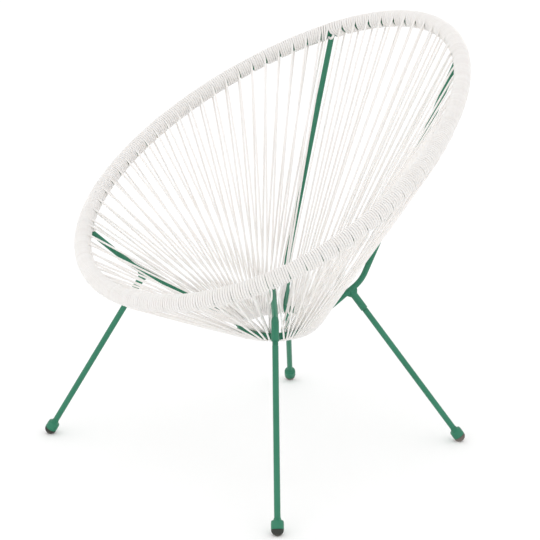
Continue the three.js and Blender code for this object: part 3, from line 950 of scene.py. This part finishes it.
def turn_onto(start, leaving, end, arriving):
    """A cord from one bar straight to another, curved where it leaves the one and comes on to the other"""
    run = np.linalg.norm(end - start)
    bend = leaving_run / run
    knee = start + leaving_run / 2 * leaving
    far_knee = end - leaving_run / 2 * arriving
    straight_start = knee + (far_knee - knee) * bend
    straight_end = far_knee + (knee - far_knee) * bend
    shares = np.linspace(0.0, 1.0, leaving_steps + 1)[1:, None]
    first = (1 - shares) ** 2 * start + 2 * shares * (1 - shares) * knee + shares ** 2 * straight_start
    last = (1 - shares) ** 2 * straight_end + 2 * shares * (1 - shares) * far_knee + shares ** 2 * end
    middle = straight_start + (straight_end - straight_start) * np.linspace(0.0, 1.0, span_steps)[1:, None]
    return np.concatenate([first, middle, last[:-1]])


def clear_of_struts(points):
    """Points of a strand, moved to bear on the side of any strut that they would pass through"""
    least = (strut_rod_width + taut_cord_width) / 2
    for rod in strut_rods:
        away = points[:, None] - rod[None]
        distance = np.linalg.norm(away, axis=2)
        nearest = distance.argmin(axis=1)
        kept = np.maximum(least / distance.min(axis=1), 1.0)[:, None]
        points = rod[nearest] + (points - rod[nearest]) * kept
    return points


def leaned(angle):
    """Inside the seat a cord's end on the ring leans in over the nearest strut's arm"""
    moved = angle
    arms = (front_arm_angle, back_arm_angle, left_arm_back, left_arm_front, left_arm_front - 2 * math.pi)
    for arm in arms:
        away = angle - arm
        moved = moved - math.copysign(arm_lean, away) * math.exp(-abs(away) / arm_lean_fade)
    return moved


def round_ring(reach, angle, stray):
    """The cord's turn under the ring's rod, from the inside of the seat to the outside"""
    swing = ring_slant / ring_radius
    angles = np.linspace(leaned(angle) + stray - swing, angle + swing, ring_wrap_steps)
    middle = ring_place(angles)
    heading = unit(ring_place(angles + swing) - ring_place(angles - swing))
    down = unit(middle - hoop_place(np.full(ring_wrap_steps, reach)))
    inside = unit(np.cross(heading, down))
    beyond = np.cross(inside, heading)
    turn = np.linspace(0.0, math.pi, ring_wrap_steps)[:, None]
    radius = (ring_rod_width + taut_cord_width) / 2
    return middle + radius * (np.cos(turn) * inside + np.sin(turn) * beyond)


def whole_turns(run, part_turn, pitch):
    """The turns over a run between two angles that keep the cord as close to its pitch as can be"""
    return part_turn + 2 * math.pi * round(run / pitch - part_turn / (2 * math.pi))


def bridge_reach(strut_reach, angle, pitch):
    """Where along the hoop the turn that bridges a strut is at an angle round it"""
    return strut_reach - pitch / 2 + pitch * angle / (2 * math.pi)


def cord_line(stretch_name):
    """The whole route of one stretch of cord, from strut to strut, and its width at each point"""
    dice = np.random.default_rng(cord_seed + list(stretches).index(stretch_name))
    start, end = stretches[stretch_name][:2]
    reaches, angles = spoke_places[stretch_name]
    pitch = pitches[stretch_name]
    inside_angle = math.pi / 2
    start_reach = bridge_reach(start, bridge_end_angle, pitch)
    end_reach = bridge_reach(end, bridge_start_angle, pitch)
    spots = []
    widths = []

    def wind(first_reach, last_reach, first_turn, turning):
        steps = math.ceil(turning / (2 * math.pi) * turn_steps)
        shares = np.linspace(0.0, 1.0, steps + 1)
        reach = first_reach + shares * (last_reach - first_reach)
        line = wound(reach, first_turn + shares * turning, stretch_name, dice)
        spots.append(line)
        widths.append(np.full(len(line), pitch))
        return line

    first_departure = reaches[0] - pitch / 4
    turning = whole_turns(first_departure - start_reach, inside_angle - bridge_end_angle, pitch)
    line = wind(start_reach, first_departure, bridge_end_angle, turning)
    for i, (reach, angle) in enumerate(zip(reaches, angles)):
        around = round_ring(reach, angle, stray_spokes.get((stretch_name, i), 0.0))
        down = turn_onto(line[-1], unit(line[-1] - line[-2]), around[0], unit(around[1] - around[0]))
        arrival = reach + pitch / 4
        steps = np.array([0.0, pitch / turn_steps])
        turns = steps / pitch * 2 * math.pi - inside_angle
        preview = on_hoop(settled(arrival + steps, turns, stretch_name), turns, pitch)
        up = turn_onto(around[-1], unit(around[-1] - around[-2]), preview[0], unit(preview[1] - preview[0]))
        sway = unit(np.cross(down[-1] - down[0], around[-1] - around[0]))
        outward = unit(around[-1] - around[0])
        for strand, bulge in ((down, 0.0), (around, 0.0), (up, bow[stretch_name])):
            if strand is not around:
                belly = np.sin(np.linspace(0.0, math.pi, len(strand)))[:, None]
                strand = clear_of_struts(strand + belly * (sway * dice.normal(0.0, sag) + bulge * outward))
            spots.append(strand)
            widths.append(np.full(len(strand), taut_cord_width))
        if i + 1 < len(reaches):
            departure = reaches[i + 1] - pitch / 4
            turning = whole_turns(departure - arrival, 2 * inside_angle, pitch)
            line = wind(arrival, departure, -inside_angle, turning)
        else:
            turning = whole_turns(end_reach - arrival, bridge_start_angle + inside_angle, pitch)
            line = wind(arrival, end_reach, -inside_angle, turning)
    near_side = settled(np.array([end_reach]), np.array([bridge_start_angle]), stretch_name)[0]
    far_stretch = following[stretch_name]
    far_start = stretches[far_stretch][0]
    far_reach = bridge_reach(far_start, bridge_end_angle, pitches[far_stretch])
    far_side = settled(np.array([far_reach]), np.array([bridge_end_angle]), far_stretch)[0]
    far_side += round((end - far_start) / hoop_length) * hoop_length
    shares = np.linspace(0.0, 1.0, bridge_steps)[1:]
    turn = bridge_start_angle + shares * (bridge_end_angle - bridge_start_angle)
    across = near_side + shares * (far_side - near_side)
    bridge = on_hoop(across, turn, pitch)
    bridge += bridge_slack * np.sin(math.pi * shares)[:, None] * unit(bridge - hoop_place(across))
    spots.append(bridge)
    widths.append(np.full(len(bridge), pitch))
    points = np.concatenate(spots)
    spread = np.concatenate(widths)
    apart = np.concatenate([[True], np.linalg.norm(np.diff(points, axis=0), axis=1) > wobble / 4])
    points = points[apart]
    spread = spread[apart]
    padded = np.pad(spread, smoothing_steps // 2, mode="edge")
    smooth = np.convolve(padded, np.ones(smoothing_steps) / smoothing_steps, mode="valid")
    return points, smooth


def white_vinyl():
    """Warm white vinyl, satin, with faint die lines along the cord and slow changes of tone"""
    material, tree, shader = start_material("white vinyl cord")
    shader["Specular IOR Level"].default_value = 0.45
    shader["Subsurface Weight"].default_value = 0.6
    shader["Subsurface Radius"].default_value = (1.0, 0.95, 0.9)
    shader["Subsurface Scale"].default_value = vinyl_glow_depth
    place = put(tree, "ShaderNodeAttribute", {"attribute_name": "cord_place"}).outputs["Vector"]
    lines = put(tree, "ShaderNodeMapping", Vector=place, Scale=vinyl_streak_scales).outputs["Vector"]
    streaks = put(tree, "ShaderNodeTexNoise", Vector=lines, Scale=2.0, Detail=3.0).outputs["Fac"]
    slow = put(tree, "ShaderNodeMapping", Vector=place, Scale=vinyl_tone_scales).outputs["Vector"]
    tones = put(tree, "ShaderNodeTexNoise", Vector=slow, Scale=1.0, Detail=2.0).outputs["Fac"]
    colour = ramped(tree, tones, (0.30, vinyl_dark), (0.70, vinyl_light))
    finish_looks(tree, shader, colour, streaks, vinyl_roughness, streaks, vinyl_bump_strength, vinyl_relief)
    return material


cord_white = white_vinyl()


def marked(tree, geometry, name, kind, value):
    """A shape that holds a value at each of its points under a name"""
    setup = {"data_type": kind, "domain": "POINT"}
    shape = geometry.outputs[0]
    return put(tree, "GeometryNodeStoreNamedAttribute", setup, Geometry=shape, Name=name, Value=value)


def cord_tree():
    """A cord along a line, as wide as the line says, marked with its place round and along the cord"""
    tree, size = start_tree("taut cord", {"Sides": "Int"})
    line = put(tree, "GeometryNodeMeshToCurve", Mesh=size["Geometry"])
    length = put(tree, "GeometryNodeSplineParameter").outputs["Length"]
    measured = marked(tree, line, "along", "FLOAT", length)
    section = put(tree, "GeometryNodeCurvePrimitiveCircle", Resolution=size["Sides"])
    spot = put(tree, "GeometryNodeInputPosition").outputs[0]
    circle = marked(tree, section, "around", "FLOAT_VECTOR", spot)
    width = put(tree, "GeometryNodeInputNamedAttribute", Name="line_width").outputs["Attribute"]
    skin = put(
        tree, "GeometryNodeCurveToMesh",
        Curve=measured.outputs[0], Profile_Curve=circle.outputs[0], Fill_Caps=True,
        Scale=calc(tree, "DIVIDE", width, 2.0),
    )
    around = put(tree, "GeometryNodeInputNamedAttribute", {"data_type": "FLOAT_VECTOR"}, Name="around")
    sides = put(tree, "ShaderNodeSeparateXYZ", Vector=around.outputs["Attribute"])
    along = put(tree, "GeometryNodeInputNamedAttribute", Name="along").outputs["Attribute"]
    place = put(tree, "ShaderNodeCombineXYZ", X=sides.outputs["X"], Y=sides.outputs["Y"], Z=along)
    placed = marked(tree, skin, "cord_place", "FLOAT_VECTOR", place.outputs[0])
    end_tree(tree, placed.outputs[0], cord_white)
    return tree


taut_cord = cord_tree()
seat_halves = {
    "front": ("left", "right"),
    "right": ("front", "back"),
    "back": ("right", "left"),
    "left": ("back", "front"),
}
for stretch_name, halves in seat_halves.items():
    points, widths = cord_line(stretch_name)
    line = line_mesh("cord line", points, widths)
    cord = grow(f"cord_{stretch_name}", taut_cord, {"Sides": cord_sides}, line)
    strung = [f"seat_cord_{stretch_name}_{half}" for half in halves]
    keep(cord, "cord_white", f"rim_wrap_{stretch_name}", *strung)

# The stage
# A plain pale floor and soft studio light, with the camera where the photograph was taken from.

floor_half = 30.0
floor_dark = (0.975, 0.975, 0.975)
floor_light = (0.99, 0.99, 0.99)
studio_strength = 1.08
seat_middle = (0.0, 0.0, 0.4)
key_place = (0.6, -3.6, 1.4)
key_width = 1.6
key_power = 6.0
fill_place = (3.6, 0.4, 0.9)
fill_width = 2.8
fill_power = 3.5
camera_turn = math.radians(47.54)
camera_rise = math.radians(16.51)
camera_distance = 3.986
camera_target = Vector((0.0, -0.0208, 0.3757))
film_width = 36.0
lens_length = 130.77
sight_length = 200.0


def pale_floor():
    """A matt, nearly white floor with a trace of unevenness"""
    material, tree, shader = start_material("pale floor")
    shader["Roughness"].default_value = 0.9
    place = put(tree, "ShaderNodeTexCoord").outputs["Object"]
    clouds = put(tree, "ShaderNodeTexNoise", Vector=place, Scale=3.0).outputs["Fac"]
    tree.links.new(ramped(tree, clouds, (0.0, floor_dark), (1.0, floor_light)), shader["Base Color"])
    return material


floor_mesh = bpy.data.meshes.new("floor")
floor_corners = [
    (-floor_half, -floor_half, 0.0), (floor_half, -floor_half, 0.0),
    (floor_half, floor_half, 0.0), (-floor_half, floor_half, 0.0),
]
floor_mesh.from_pydata(floor_corners, [], [(0, 1, 2, 3)])
floor_mesh.materials.append(pale_floor())
floor = add_object("floor", floor_mesh)

world = bpy.data.worlds.new("studio")
world.use_nodes = True
world.node_tree.nodes["Background"].inputs["Color"].default_value = (1.0, 1.0, 1.0, 1.0)
world.node_tree.nodes["Background"].inputs["Strength"].default_value = studio_strength
bpy.context.scene.world = world
bpy.context.scene.view_settings.view_transform = "Standard"


def soft_light(name, place, target, width, power):
    lamp = bpy.data.lights.new(name, "AREA")
    lamp.shape = "DISK"
    lamp.size = width
    lamp.energy = power
    light = add_object(name, lamp)
    light.location = place
    light.rotation_euler = (Vector(target) - Vector(place)).to_track_quat("-Z", "Y").to_euler()


soft_light("key", key_place, seat_middle, key_width, key_power)
soft_light("fill", fill_place, seat_middle, fill_width, fill_power)
camera_back = Vector((
    math.sin(camera_turn) * math.cos(camera_rise),
    -math.cos(camera_turn) * math.cos(camera_rise),
    math.sin(camera_rise),
))
camera_data = bpy.data.cameras.new("camera")
camera_data.sensor_width = film_width
camera_data.lens = lens_length
camera_data.clip_end = sight_length
camera = add_object("camera", camera_data)
camera.location = camera_target + camera_distance * camera_back
camera.rotation_euler = camera_back.to_track_quat("Z", "Y").to_euler()
bpy.context.scene.camera = camera
